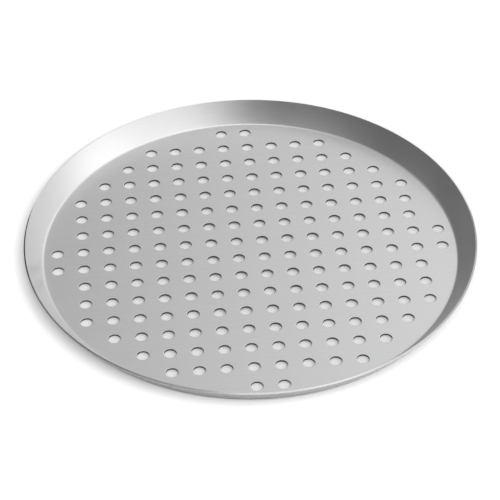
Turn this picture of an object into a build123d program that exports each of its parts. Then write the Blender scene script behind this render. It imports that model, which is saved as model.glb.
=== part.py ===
from build123d import *
import math
import os

# A round perforated pizza pan, press-formed in one piece from a blank of aluminium sheet:
# a flat floor with a square grid of punched holes, a round corner, a flaring wall and a
# plain cut edge. Millimetres and degrees, +Z up, origin at the centre of the underside.

# Pressing
rim_diameter = 355.6  # across the outer corner of the cut edge
pan_height = 19.05  # from the underside to the top corner of the cut edge
sheet = 1.6
wall_angle = 55.0  # of the wall, up from the floor
corner_radius = 2.5  # of the inner face, where the floor turns into the wall

# Perforation
hole_diameter = 9.525  # across the flats of the punch
hole_pitch = 20.3  # of the square grid, which straddles the axis
hole_margin = 4.3  # least plain floor between a hole and the corner
hole_sides = 12  # of the punch, few enough to keep so many holes light


def wall_direction():
    """The unit step up the wall, as radius and height."""
    slope = math.radians(wall_angle)
    return math.cos(slope), math.sin(slope)


def edge_foot():
    """Outer corner of the cut edge, which is square to the sheet, as radius and height."""
    outward, _ = wall_direction()
    return rim_diameter / 2, pan_height - sheet * outward


def floor_radius():
    """Radius at which the floor ends and the corner begins, alike on both faces."""
    outward, upward = wall_direction()
    edge_radius, edge_height = edge_foot()
    sharp_foot = edge_radius - edge_height * outward / upward
    return sharp_foot - (corner_radius + sheet) * math.tan(math.radians(wall_angle / 2))


def pressed_wall():
    """Corner and wall, turned about the axis from one half section of even thickness."""
    outward, upward = wall_direction()
    outer_radius = corner_radius + sheet
    start = (floor_radius(), 0)
    corner_end = (floor_radius() + outer_radius * upward, outer_radius * (1 - outward))
    corner = RadiusArc(start, corner_end, -outer_radius)
    wall = Line(corner_end, edge_foot())
    half_section = Face(Wire([corner.edge(), wall.edge()]).offset_2d(sheet, side=Side.LEFT))
    return revolve(Plane.XZ * half_section, Axis.Z)


def hole_places():
    """Centres of the holes: as much of the square grid as clears the corner all round."""
    reach = floor_radius() - hole_margin - hole_diameter / 2
    rows_each_way = math.ceil(reach / hole_pitch)
    steps = [(row + 1 / 2) * hole_pitch for row in range(-rows_each_way, rows_each_way)]
    return [(x, y) for x in steps for y in steps if math.hypot(x, y) <= reach]


def perforated_floor():
    """The round floor with every hole of the grid punched through it."""
    hole = RegularPolygon(hole_diameter / 2, hole_sides, major_radius=False).wire()
    holes = [hole.moved(Location((x, y))) for x, y in hole_places()]
    return extrude(Face(Wire.make_circle(floor_radius()), holes), sheet)


def pizza_pan():
    """The whole pressing, floor and wall in one solid."""
    pan = perforated_floor() + pressed_wall()
    pan.label = "pan"
    return pan


def main():
    os.makedirs("parts", exist_ok=True)
    export_step(pizza_pan(), "parts/pan.step")
    print(len(hole_places()), "holes in a floor of radius", round(floor_radius(), 2), "mm")


if __name__ == "__main__":
    main()
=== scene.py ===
# %% [markdown]
# A perforated pizza pan is one round blank of aluminium sheet, punched with a grid of holes and pressed into a
# shallow dish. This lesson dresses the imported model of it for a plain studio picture. It starts by loading that
# model as a fixed frame, because the finished pan has to stay in the place and the size that the frame gives.

# %% Load the frame
import math

import bmesh
import bpy
from mathutils import Matrix, Vector


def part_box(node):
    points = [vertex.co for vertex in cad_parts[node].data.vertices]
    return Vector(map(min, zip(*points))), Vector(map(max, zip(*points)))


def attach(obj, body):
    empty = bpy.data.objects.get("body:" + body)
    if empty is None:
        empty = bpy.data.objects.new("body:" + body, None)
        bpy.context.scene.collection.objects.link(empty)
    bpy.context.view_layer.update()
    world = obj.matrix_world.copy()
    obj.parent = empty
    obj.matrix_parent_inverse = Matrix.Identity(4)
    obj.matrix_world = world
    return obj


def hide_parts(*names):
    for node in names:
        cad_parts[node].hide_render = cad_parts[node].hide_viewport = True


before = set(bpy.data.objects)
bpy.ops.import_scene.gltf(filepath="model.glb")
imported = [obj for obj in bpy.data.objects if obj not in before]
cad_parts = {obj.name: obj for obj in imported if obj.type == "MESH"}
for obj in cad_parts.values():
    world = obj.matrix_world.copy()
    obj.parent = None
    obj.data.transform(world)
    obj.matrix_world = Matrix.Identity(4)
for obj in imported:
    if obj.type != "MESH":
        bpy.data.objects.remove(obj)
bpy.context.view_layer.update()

# %% [markdown]
# The rim and the height are read from the frame, so the dressed pan can't drift away from it. The other sizes
# are those of the pressing. The wall keeps the thickness of the sheet all the way, so its corner has one centre
# for both faces, and the cut edge is square to the wall. From these few sizes follows where the floor ends.

# %% Sizes of the pressing
MM = 0.001
_, high_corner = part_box("pan")
rim_radius = high_corner.x
pan_height = high_corner.z
sheet = 1.6 * MM
wall_angle = math.radians(55)
corner_radius = 2.5 * MM

outward, upward = math.cos(wall_angle), math.sin(wall_angle)
outer_corner_radius = corner_radius + sheet
edge_foot_height = pan_height - sheet * outward
sharp_foot_radius = rim_radius - edge_foot_height * outward / upward
floor_radius = sharp_foot_radius - outer_corner_radius * math.tan(wall_angle / 2)
print(f"rim radius {rim_radius / MM:.2f} mm, floor radius {floor_radius / MM:.2f} mm")

# %% [markdown]
# Corner, wall and cut edge are the same all round, so half a section of them is drawn once and spun. It takes
# three kinds of line: a straight one, the arc of the corner and the line of the wall. A pressed wall isn't quite
# straight. It leaves the corner a little flatter than it meets the rim, so it bows outwards by a hair.

# %% Make pens for the section
corner_steps = 10
wall_steps = 8
wall_bow = math.radians(4)
corner_turn = wall_angle - wall_bow
corner_centre = Vector((floor_radius, 0, outer_corner_radius))


def push(bm, vert, end):
    """Draws a straight line from a point to another, and gives back its end."""
    made = bmesh.ops.extrude_vert_indiv(bm, verts=[vert])
    vert = made["verts"][0]
    bmesh.ops.translate(bm, verts=[vert], vec=end - vert.co)
    return vert


def bow(bm, vert, end):
    """Draws the wall's slight bow from a point to another, bulging outwards, and gives back its end."""
    start = vert.co.copy()
    run = end - start
    bulge = Vector((abs(run.z), 0, -abs(run.x))) * math.tan(wall_bow)
    for step in range(1, wall_steps + 1):
        share = step / wall_steps
        vert = push(bm, vert, start + run * share + bulge * share * (1 - share))
    return vert


def turn_corner(bm, vert, angle):
    """Draws the arc of the corner from a point, and gives back its end."""
    made = bmesh.ops.spin(
        bm, geom=[vert], cent=corner_centre, axis=(0, -1, 0), dvec=(0, 0, 0), angle=angle,
        steps=corner_steps, use_merge=False, use_normal_flip=False, use_duplicate=False,
    )
    return made["geom_last"][0]


def section_point(radius, height):
    """A point of the section, which lies in the plane of X and Z."""
    return Vector((radius, 0, height))


print(f"the corner turns by {math.degrees(corner_turn):.0f} degrees, the wall bows by {math.degrees(wall_bow):.0f}")

# %% [markdown]
# The section is drawn as a press shapes the sheet: a point on the floor is spun round the corner's centre, pushed
# up the wall, across the cut edge and down the outside, and spun back round the same centre. It starts a little
# way in on the floor, so that the floor has a ring of its own beside the corner and shades as a flat.

# %% Draw the section
plain_ring = 2.0 * MM
foot_way = Vector((math.sin(corner_turn), 0, -math.cos(corner_turn)))

shell = bmesh.new()
point = shell.verts.new(section_point(floor_radius - plain_ring, sheet))
point = push(shell, point, section_point(floor_radius, sheet))
point = turn_corner(shell, point, corner_turn)
point = bow(shell, point, section_point(rim_radius - sheet * upward, pan_height))
point = push(shell, point, section_point(rim_radius, edge_foot_height))
point = bow(shell, point, corner_centre + outer_corner_radius * foot_way)
point = turn_corner(shell, point, -corner_turn)
point = push(shell, point, section_point(floor_radius - plain_ring, 0))
print("section:", len(shell.verts), "points, ends at", tuple(round(n / MM, 2) for n in point.co), "mm")

# %% [markdown]
# A full spin with its ends merged closes the section into the ring of the wall. Round the rim, the press leaves
# a square edge that is only just broken, so both of its corners get a bevel of a tenth of a millimetre. The rim
# is what catches the light in the picture, and a perfectly sharp corner never does.

# %% Spin the wall and break the corners of the cut edge
ring_steps = 256
edge_break = 0.12 * MM
same_height = 0.001 * MM

bmesh.ops.spin(
    shell, geom=shell.verts[:] + shell.edges[:], cent=(0, 0, 0), axis=(0, 0, 1), dvec=(0, 0, 0),
    angle=math.tau, steps=ring_steps, use_merge=True, use_normal_flip=False, use_duplicate=False,
)


def on_rim(vert, height):
    """Whether a point lies on the rim at a height."""
    return abs(vert.co.z - height) < same_height and vert.co.xy.length > rim_radius - sheet


for ring_height in (pan_height, edge_foot_height):
    ring = [edge for edge in shell.edges if all(on_rim(vert, ring_height) for vert in edge.verts)]
    bmesh.ops.bevel(
        shell, geom=ring, offset=edge_break, offset_type="OFFSET", segments=1, profile=0.5,
        affect="EDGES", material=-1, clamp_overlap=True,
    )
    print("broke a ring of", len(ring), "edges")

floor_edge_loops = [edge for edge in shell.edges if edge.is_boundary]

# %% [markdown]
# The floor starts as a square of sheet for each hole. A grid gives both rows at once, and the squares too near
# the corner are taken away, as the punch leaves them out. The sides of the squares are then cut into short
# edges, because each square will end as a round hole and a circle needs more corners than four. Two dozen are
# enough for a shape that comes so often.

# %% Lay out a square for each hole
hole_pitch = 20.3 * MM
hole_radius = 9.525 * MM / 2
hole_margin = 4.3 * MM
side_cuts = 5
reach = floor_radius - hole_margin - hole_radius
rows_each_way = math.ceil(reach / hole_pitch)


def lay_squares(bm, height):
    """A square of sheet for each hole, on the top or the underside."""
    grid = bmesh.ops.create_grid(
        bm, x_segments=2 * rows_each_way, y_segments=2 * rows_each_way,
        size=rows_each_way * hole_pitch, matrix=Matrix.Translation((0, 0, height)),
    )
    faces = {face for vert in grid["verts"] for face in vert.link_faces}
    spare = [face for face in faces if face.calc_center_median().xy.length > reach]
    bmesh.ops.delete(bm, geom=spare, context="FACES")
    squares = [face for face in faces if face.is_valid]
    sides = list({edge for face in squares for edge in face.edges})
    bmesh.ops.subdivide_edges(bm, edges=sides, cuts=side_cuts, use_grid_fill=False)
    return squares


top_squares = lay_squares(shell, sheet)
under_squares = lay_squares(shell, 0)
print(len(top_squares), "holes")

# %% [markdown]
# Each hole is now drawn inside its square. An inset gives a smaller outline, which is moved onto a circle, and a
# second inset of that circle is the hole itself. The narrow ring between the two stays flat, so that the rolled
# edge of the hole can't spread its shading over the floor.

# %% Draw a hole in each square
first_inset = 0.1 * MM
flat_ring = 0.5 * MM
circle_sides = 4 * (side_cuts + 1)
circle_step = math.tau / circle_sides


def circle_angle(dx, dy):
    """Where a point of the square's outline goes on the circle, an equal step from its neighbours."""
    if abs(dx) >= abs(dy):
        angle = (0 if dx > 0 else math.pi) + dy / dx * math.pi / 4
    else:
        angle = (math.pi / 2 if dy > 0 else -math.pi / 2) - dx / dy * math.pi / 4
    return round(angle / circle_step) * circle_step


def draw_holes(bm, squares):
    """Insets the squares to a circle, then to the hole."""
    centres = [(face, face.calc_center_median()) for face in squares]
    bmesh.ops.inset_individual(bm, faces=squares, thickness=first_inset, use_even_offset=True)
    for face, centre in centres:
        for vert in face.verts:
            angle = circle_angle(vert.co.x - centre.x, vert.co.y - centre.y)
            around = Vector((math.cos(angle), math.sin(angle), 0))
            vert.co = centre + around * (hole_radius + flat_ring)
    ring_on_flats = flat_ring * math.cos(circle_step / 2)
    bmesh.ops.inset_individual(bm, faces=squares, thickness=ring_on_flats, use_even_offset=True)


for squares in (top_squares, under_squares):
    draw_holes(shell, squares)
print("each hole has", circle_sides, "sides")

# %% [markdown]
# Between the stepped outline of the squares and the corner there is a band of plain sheet. A few corners of the
# steps would reach over the corner's ring, so they are drawn back first. The band's two outlines have different
# numbers of points, so it is filled with triangles. The fill sorts its points from side to side and can slip
# where several are level, so the floor is turned by a few degrees while it works, then turned back.

# %% Fill the plain band round the squares
least_band = 1.0 * MM
fill_turn = Matrix.Rotation(math.radians(3), 3, "Z")
same_face = 0.01 * MM


def fill_band(bm, height):
    """Fills from the squares' outline to the ring beside the corner, on one face of the sheet."""
    edges = [
        edge for edge in bm.edges
        if edge.is_boundary and all(abs(vert.co.z - height) < same_face for vert in edge.verts)
    ]
    verts = list({vert for edge in edges for vert in edge.verts})
    ring_verts = {vert for edge in floor_edge_loops for vert in edge.verts}
    ring_radius = max(vert.co.xy.length for vert in ring_verts)
    for vert in verts:
        over = vert.co.xy.length / (ring_radius - least_band)
        if vert not in ring_verts and over > 1:
            vert.co.xy /= over
    bmesh.ops.rotate(bm, verts=verts, cent=(0, 0, 0), matrix=fill_turn)
    made = bmesh.ops.triangle_fill(bm, edges=edges, use_beauty=True, use_dissolve=False)
    bmesh.ops.rotate(bm, verts=verts, cent=(0, 0, 0), matrix=fill_turn.transposed())
    print("band of", sum(isinstance(item, bmesh.types.BMFace) for item in made["geom"]), "triangles")


fill_band(shell, sheet)
fill_band(shell, 0)

# %% [markdown]
# Now the punch goes through. The round faces on the top are pushed down by the thickness of the sheet, where
# their outlines meet the circles on the underside. Both sets of round faces are the slugs that fall out, so they
# are deleted, and the outlines that met are merged.

# %% Punch the holes
merge_within = 0.01 * MM

hole_rims = [edge for face in top_squares for edge in face.edges]
slugs = bmesh.ops.extrude_discrete_faces(shell, faces=top_squares)["faces"]
slug_verts = list({vert for face in slugs for vert in face.verts})
bmesh.ops.translate(shell, verts=slug_verts, vec=(0, 0, -sheet))
bmesh.ops.delete(shell, geom=slugs + under_squares, context="FACES_ONLY")
bmesh.ops.remove_doubles(shell, verts=shell.verts, dist=merge_within)
bmesh.ops.recalc_face_normals(shell, faces=shell.faces)
print("open edges after punching:", sum(not edge.is_manifold for edge in shell.edges))

# %% [markdown]
# A punch draws the sheet down a little as it enters, so the upper edge of each hole is rolled, while the lower
# edge is left square. A bevel of two segments round each top edge makes the roll, which catches a thin line of
# light.

# %% Roll the upper edges of the holes
rolled_edge = 0.2 * MM

bmesh.ops.bevel(
    shell, geom=hole_rims, offset=rolled_edge, offset_type="OFFSET", segments=2, profile=0.5,
    affect="EDGES", material=-1, clamp_overlap=True,
)
print("rolled", len(hole_rims), "edges by", round(rolled_edge / MM, 2), "mm")

# %% [markdown]
# A pressed floor never stays quite flat. It springs up about a millimetre in the middle, and this slow curve is
# why the light changes across the floor in the picture. Every point inside the corner is lifted by its share,
# top and underside alike, so the sheet keeps its thickness.

# %% Spring the floor
floor_crown = 1.1 * MM

for vert in shell.verts:
    radius = vert.co.xy.length
    if radius < floor_radius:
        vert.co.z += floor_crown * (1 - (radius / floor_radius) ** 2)

bmesh.ops.recalc_face_normals(shell, faces=shell.faces)
print("open edges:", sum(not edge.is_manifold for edge in shell.edges))
print("volume:", round(shell.calc_volume() / MM**3), "mm3")

# %% [markdown]
# The whole pan is shaded smooth but for its real corners, where two faces meet at more than a few tens of
# degrees. The faces that were cut get slots of their own: the rim's edge was sheared cleanly, while the walls of
# the holes were torn by the punch and stay rougher and duller than the finished sheet. Their very dark colour is
# painted shade, for the shade inside the holes.

# %% Shade the faces and mark the cut ones
sharp_from = math.radians(35)
satin_slot, sheared_slot, punched_slot = 0, 1, 2
upright_below = 0.1
edge_reach = rim_radius * outward + edge_foot_height * upward
edge_slack = 0.05 * MM


def slot_of(face):
    """The material slot of a face, from where it lies on the pan."""
    middle = face.calc_center_median()
    if middle.xy.length < floor_radius:
        return punched_slot if abs(face.normal.z) < upright_below else satin_slot
    at_the_edge = middle.xy.length * outward + middle.z * upward > edge_reach - edge_slack
    return sheared_slot if at_the_edge else satin_slot


for face in shell.faces:
    face.smooth = True
    face.material_index = slot_of(face)
for edge in shell.edges:
    edge.smooth = edge.calc_face_angle(0) < sharp_from
print("faces in each slot:", [sum(face.material_index == slot for face in shell.faces) for slot in range(3)])

# %% [markdown]
# The mesh becomes an object that rides on the frame's only body. It stands in for the imported model's plain pan,
# which is hidden.

# %% Make the pan
pan_mesh = bpy.data.meshes.new("pressed_pan")
shell.to_mesh(pan_mesh)
shell.free()
pan = bpy.data.objects.new("pressed_pan", pan_mesh)
bpy.context.scene.collection.objects.link(pan)
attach(pan, "root")
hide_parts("pan")
print(pan.name, "has", len(pan_mesh.polygons), "faces")

# %% [markdown]
# Satin sheet is brushed with a fine abrasive belt, always along one row of the holes. A noise that is drawn out
# a long way along X and hardly at all across it, in the object's own coordinates, gives fine streaks. Two sizes
# of them are used, and a slow noise without direction for the faint clouds of a sheet that has been handled. The
# blank was brushed before it was pressed, so the wall keeps the same straight grain.

# %% Draw the grain of the brushing
hairline_grain = (60, 3500, 3500)
belt_grain = (14, 700, 700)
cloud_grain = (25, 25, 25)


def add_noise(nodes, links, place, scale, detail, name):
    """A noise stretched by a scale on each axis."""
    stretch = nodes.new("ShaderNodeMapping")
    stretch.inputs["Scale"].default_value = scale
    noise = nodes.new("ShaderNodeTexNoise")
    noise.name = noise.label = name
    noise.inputs["Scale"].default_value = 1
    noise.inputs["Detail"].default_value = detail
    links.new(place.outputs["Object"], stretch.inputs["Vector"])
    links.new(stretch.outputs["Vector"], noise.inputs["Vector"])
    return noise.outputs["Fac"]


satin = bpy.data.materials.new("brushed_satin")
satin.use_nodes = True
nodes, links = satin.node_tree.nodes, satin.node_tree.links
place = nodes.new("ShaderNodeTexCoord")
hairlines = add_noise(nodes, links, place, hairline_grain, 2, "hairlines")
belt_marks = add_noise(nodes, links, place, belt_grain, 3, "belt marks")
clouds = add_noise(nodes, links, place, cloud_grain, 3, "clouds")
print("streaks are", hairline_grain[1] // hairline_grain[0], "times as long as wide")

# %% [markdown]
# The noises could be painted straight onto the metal, but real streaks differ only by a shade. So each noise is
# spread over a narrow range round one, the ranges are multiplied, and the product tints the plain aluminium. The
# belt marks and the clouds also make the metal a little rougher in one place than in another.

# %% Tint and roughen the sheet
noise_middle = (0.25, 0.75)
hairline_tones = (0.978, 1.022)
belt_tones = (0.980, 1.020)
cloud_tones = (0.99, 1.01)
bare_aluminium = (0.78, 0.78, 0.785, 1)
belt_roughness = (0.32, 0.37)
cloud_roughness = (0, 0.03)


def spread(nodes, links, value, low, high):
    """Turns the middle of a noise into the range from low to high."""
    ramp = nodes.new("ShaderNodeMapRange")
    ramp.inputs["From Min"].default_value, ramp.inputs["From Max"].default_value = noise_middle
    ramp.inputs["To Min"].default_value = low
    ramp.inputs["To Max"].default_value = high
    links.new(value, ramp.inputs["Value"])
    return ramp.outputs["Result"]


def blend(nodes, links, operation, first, second):
    """Adds or multiplies two values, or takes the greater."""
    node = nodes.new("ShaderNodeMath")
    node.operation = operation
    links.new(first, node.inputs[0])
    links.new(second, node.inputs[1])
    return node.outputs[0]


streak_tone = blend(
    nodes, links, "MULTIPLY",
    spread(nodes, links, hairlines, *hairline_tones), spread(nodes, links, belt_marks, *belt_tones),
)
tone = blend(nodes, links, "MULTIPLY", streak_tone, spread(nodes, links, clouds, *cloud_tones))
tint = nodes.new("ShaderNodeMix")
tint.data_type = "RGBA"
tint.blend_type = "MULTIPLY"
tint.inputs["Factor"].default_value = 1
tint.inputs["A"].default_value = bare_aluminium
links.new(tone, tint.inputs["B"])

shader = nodes["Principled BSDF"]
shader.inputs["Metallic"].default_value = 1
links.new(tint.outputs["Result"], shader.inputs["Base Color"])
roughness = blend(
    nodes, links, "ADD",
    spread(nodes, links, belt_marks, *belt_roughness), spread(nodes, links, clouds, *cloud_roughness),
)
links.new(roughness, shader.inputs["Roughness"])
print("tones from", round(hairline_tones[0] * belt_tones[0] * cloud_tones[0], 3), "of the bare metal up")

# %% [markdown]
# The streaks also dent the metal by very little. Scratches much finer than these draw each reflection out across
# the grain. They are too small to model, so the shader is told the grain's direction, and it spreads reflections
# a quarter turn from it.

# %% Dent the sheet and spread its reflections
dent_strength = 0.25
dent_depth = 0.02 * MM
spread_across = 0.4
quarter_turn = 0.25

dents = nodes.new("ShaderNodeBump")
dents.inputs["Strength"].default_value = dent_strength
dents.inputs["Distance"].default_value = dent_depth
links.new(blend(nodes, links, "ADD", hairlines, belt_marks), dents.inputs["Height"])
links.new(dents.outputs["Normal"], shader.inputs["Normal"])

along_grain = nodes.new("ShaderNodeVectorTransform")
along_grain.convert_from = "OBJECT"
along_grain.convert_to = "WORLD"
along_grain.inputs["Vector"].default_value = (1, 0, 0)
links.new(along_grain.outputs["Vector"], shader.inputs["Tangent"])
shader.inputs["Anisotropic"].default_value = spread_across
shader.inputs["Anisotropic Rotation"].default_value = quarter_turn
pan_mesh.materials.append(satin)
print(len(nodes), "nodes in", satin.name)

# %% [markdown]
# A cut face shows two zones, a smooth one where the blade slid and a torn one below it. Streaks round the edge
# would have to follow every hole, so the tearing is a noise that is fine in all directions and strong in its
# dents, which gives the same dull sparkle at this size. Both cut finishes are made by one recipe.

# %% Roughen the cut faces
tear_grain = (1500, 1500, 400)
tear_detail = 4
tear_strength = 0.3
tear_depth = 0.05 * MM
blue_tinge = 1.01


def add_cut_metal(name, dark, light, smooth, rough):
    """A cut finish, from its darkest tone to its lightest and from its smoothest part to its roughest."""
    material = bpy.data.materials.new(name)
    material.use_nodes = True
    nodes, links = material.node_tree.nodes, material.node_tree.links
    shader = nodes["Principled BSDF"]
    shader.inputs["Metallic"].default_value = 1
    place = nodes.new("ShaderNodeTexCoord")
    tearing = add_noise(nodes, links, place, tear_grain, tear_detail, "tearing")
    tone = nodes.new("ShaderNodeMix")
    tone.data_type = "RGBA"
    tone.inputs["A"].default_value = (dark, dark, dark * blue_tinge, 1)
    tone.inputs["B"].default_value = (light, light, light * blue_tinge, 1)
    links.new(spread(nodes, links, tearing, 0, 1), tone.inputs["Factor"])
    links.new(tone.outputs["Result"], shader.inputs["Base Color"])
    links.new(spread(nodes, links, tearing, smooth, rough), shader.inputs["Roughness"])
    tears = nodes.new("ShaderNodeBump")
    tears.inputs["Strength"].default_value = tear_strength
    tears.inputs["Distance"].default_value = tear_depth
    links.new(tearing, tears.inputs["Height"])
    links.new(tears.outputs["Normal"], shader.inputs["Normal"])
    pan_mesh.materials.append(material)


add_cut_metal("sheared_edge", dark=0.48, light=0.56, smooth=0.08, rough=0.16)
# The punched walls' very dark tones are painted shade for the shade inside the holes; their roughness is the real
# tearing.
add_cut_metal("punched_wall_painted_shade", dark=0.11, light=0.17, smooth=0.45, rough=0.60)
print("materials:", [material.name for material in pan_mesh.materials])

# %% [markdown]
# The pan stands on plain white board, matt so that it shows no reflection of the pan, only its shadow. It is far
# wider than the picture, so that its edge is never seen from the pan's height.

# %% Lay the table
board_half_side = 4
table_tone = 0.93

board = bmesh.new()
bmesh.ops.create_grid(board, x_segments=1, y_segments=1, size=board_half_side)
table_mesh = bpy.data.meshes.new("table")
board.to_mesh(table_mesh)
board.free()
table = bpy.data.objects.new("table", table_mesh)
bpy.context.scene.collection.objects.link(table)

white = bpy.data.materials.new("white_board")
white.use_nodes = True
nodes, links = white.node_tree.nodes, white.node_tree.links
shader = nodes["Principled BSDF"]
shader.inputs["Base Color"].default_value = (table_tone, table_tone, table_tone, 1)
shader.inputs["Roughness"].default_value = 1
shader.inputs["Specular IOR Level"].default_value = 0
table_mesh.materials.append(white)
print("table", 2 * board_half_side, "m wide, of tone", table_tone)

# %% [markdown]
# The studio light alone would leave the board a pale grey, so round the pan it also glows a little, for the
# camera and for mirrors only: that makes it white in the picture, lights nothing, and keeps the pan's shadow. For
# the camera the glow starts near the pan's foot. Its middle lies a little behind the pan's, so that the board in
# front is bright right up to the rim, while the shadow at the left and behind stays. For mirrors the glow starts
# further out, because the outside of the wall mirrors the shadow under the rim. Under the floor only a little of
# it is left, so that the board shows paler than the metal through the holes.

# %% Let the board glow round the pan
glow_middle = (2.4 * MM, 20 * MM, 0)
glow_in_holes = 0.12
glow_round_pan = 0.60
camera_ramp = (174 * MM, 196 * MM)
glow_in_mirrors = 0.45
mirror_ramp = (200 * MM, 300 * MM)

from_middle = nodes.new("ShaderNodeVectorMath")
from_middle.operation = "DISTANCE"
links.new(nodes.new("ShaderNodeTexCoord").outputs["Object"], from_middle.inputs[0])
from_middle.inputs[1].default_value = glow_middle


def add_glow(seen_by, ramp, least, most):
    """The board's glow for one sort of ray, which grows between the two distances of the ramp."""
    glow = nodes.new("ShaderNodeMapRange")
    glow.interpolation_type = "SMOOTHSTEP"
    glow.inputs["From Min"].default_value, glow.inputs["From Max"].default_value = ramp
    glow.inputs["To Min"].default_value = least
    glow.inputs["To Max"].default_value = most
    links.new(from_middle.outputs["Value"], glow.inputs["Value"])
    return blend(nodes, links, "MULTIPLY", seen_by, glow.outputs["Result"])


rays = nodes.new("ShaderNodeLightPath")
mirrors = blend(nodes, links, "MAXIMUM", rays.outputs["Is Glossy Ray"], rays.outputs["Is Transmission Ray"])
glow = blend(
    nodes, links, "ADD",
    add_glow(rays.outputs["Is Camera Ray"], camera_ramp, glow_in_holes, glow_round_pan),
    add_glow(mirrors, mirror_ramp, 0, glow_in_mirrors),
)
shader.inputs["Emission Color"].default_value = (1, 1, 1, 1)
links.new(glow, shader.inputs["Emission Strength"])
print("glow from", glow_in_holes, "in the holes to", glow_round_pan, "round the pan")

# %% [markdown]
# The light is a tent of soft panels round the pan, brightest at the front right. Each panel is a smooth lobe of
# the world: the direction looked in is compared with the panel's own, and the strength falls off softly to
# nothing at the panel's outer angle. Panels in the world have no distance, so they light the whole table evenly.
# The metal shows what it faces: the left wall looks at the bright side of the tent and the right wall at the dim
# one. Where the camera itself looks past the board, it sees plain white instead of the panels.

# %% Hang the light tent
tent_dimmest = 0.10
panel_heart = math.radians(4)
panels = {  # azimuth, elevation and outer angle in degrees, then the strength
    "right": (20, 28, 55, 0.77),
    "front right": (-40, 21, 57, 0.97),
    "high front": (-60, 65, 30, 0.89),
    "top": (0, 90, 35, 0.42),
    "high back": (80, 55, 30, 0.38),
    "back right": (60, 35, 35, 0.39),
    "low back": (92, 10, 30, 0.31),
    "back left": (151, 39, 30, 0.28),
    "high front left": (218, 60, 35, 0.40),
}

studio = bpy.data.worlds.new("studio")
bpy.context.scene.world = studio
studio.use_nodes = True
nodes, links = studio.node_tree.nodes, studio.node_tree.links
looked_in = nodes.new("ShaderNodeTexCoord").outputs["Generated"]


def add_panel(name, azimuth, elevation, outer, strength):
    """One soft lobe of light, with its azimuth counted from +X towards +Y."""
    azimuth, elevation = math.radians(azimuth), math.radians(elevation)
    level = math.cos(elevation)
    facing = nodes.new("ShaderNodeVectorMath")
    facing.operation = "DOT_PRODUCT"
    facing.label = name
    facing.inputs[1].default_value = (
        level * math.cos(azimuth), level * math.sin(azimuth), math.sin(elevation),
    )
    links.new(looked_in, facing.inputs[0])
    lobe = nodes.new("ShaderNodeMapRange")
    lobe.interpolation_type = "SMOOTHSTEP"
    lobe.inputs["From Min"].default_value = math.cos(math.radians(outer))
    lobe.inputs["From Max"].default_value = math.cos(panel_heart)
    lobe.inputs["To Max"].default_value = strength
    links.new(facing.outputs["Value"], lobe.inputs["Value"])
    return lobe.outputs["Result"]


dimmest = nodes.new("ShaderNodeValue")
dimmest.outputs[0].default_value = tent_dimmest
total = dimmest.outputs[0]
for name, panel in panels.items():
    total = blend(nodes, links, "ADD", total, add_panel(name, *panel))

seen = nodes.new("ShaderNodeMix")
links.new(nodes.new("ShaderNodeLightPath").outputs["Is Camera Ray"], seen.inputs["Factor"])
links.new(total, seen.inputs["A"])
seen.inputs["B"].default_value = 1
background = nodes["Background"]
background.inputs["Color"].default_value = (1, 1, 1, 1)
links.new(seen.outputs["Result"], background.inputs["Strength"])
print(len(panels), "panels")

# %% [markdown]
# The camera looks down from the front at a little under half a right angle, through a long lens that keeps the
# far rows of holes nearly as large as the near ones. It was fitted to the rows of holes, which set its place and
# its lens together. When the rows lie right, so does the rim.

# %% Place the camera
camera_azimuth = math.radians(-5.337)
camera_elevation = math.radians(40.849)
camera_roll = math.radians(-0.410)
camera_distance = 1482.9 * MM
camera_right = -0.344 * MM
camera_up = -1.034 * MM
camera_lens = 134.76
film_width = 36
nearest_seen = 10 * MM

back = Vector((
    math.sin(camera_azimuth) * math.cos(camera_elevation),
    -math.cos(camera_azimuth) * math.cos(camera_elevation),
    math.sin(camera_elevation),
))
right = Vector((math.cos(camera_azimuth), math.sin(camera_azimuth), 0))
up = back.cross(right)
rolled_right = math.cos(camera_roll) * right + math.sin(camera_roll) * up
rolled_up = math.cos(camera_roll) * up - math.sin(camera_roll) * right
target = Vector((0, 0, sheet + floor_crown))

camera_data = bpy.data.cameras.new("camera")
camera_data.sensor_width = film_width
camera_data.lens = camera_lens
camera_data.clip_start = nearest_seen
camera = bpy.data.objects.new("camera", camera_data)
stance = Matrix((rolled_right, rolled_up, back)).transposed().to_4x4()
stance.translation = target + camera_distance * back + camera_right * rolled_right + camera_up * rolled_up
camera.matrix_world = stance
bpy.context.scene.collection.objects.link(camera)
bpy.context.scene.camera = camera
bpy.context.scene.view_settings.view_transform = "Standard"
print("camera at", tuple(round(n, 3) for n in stance.translation))
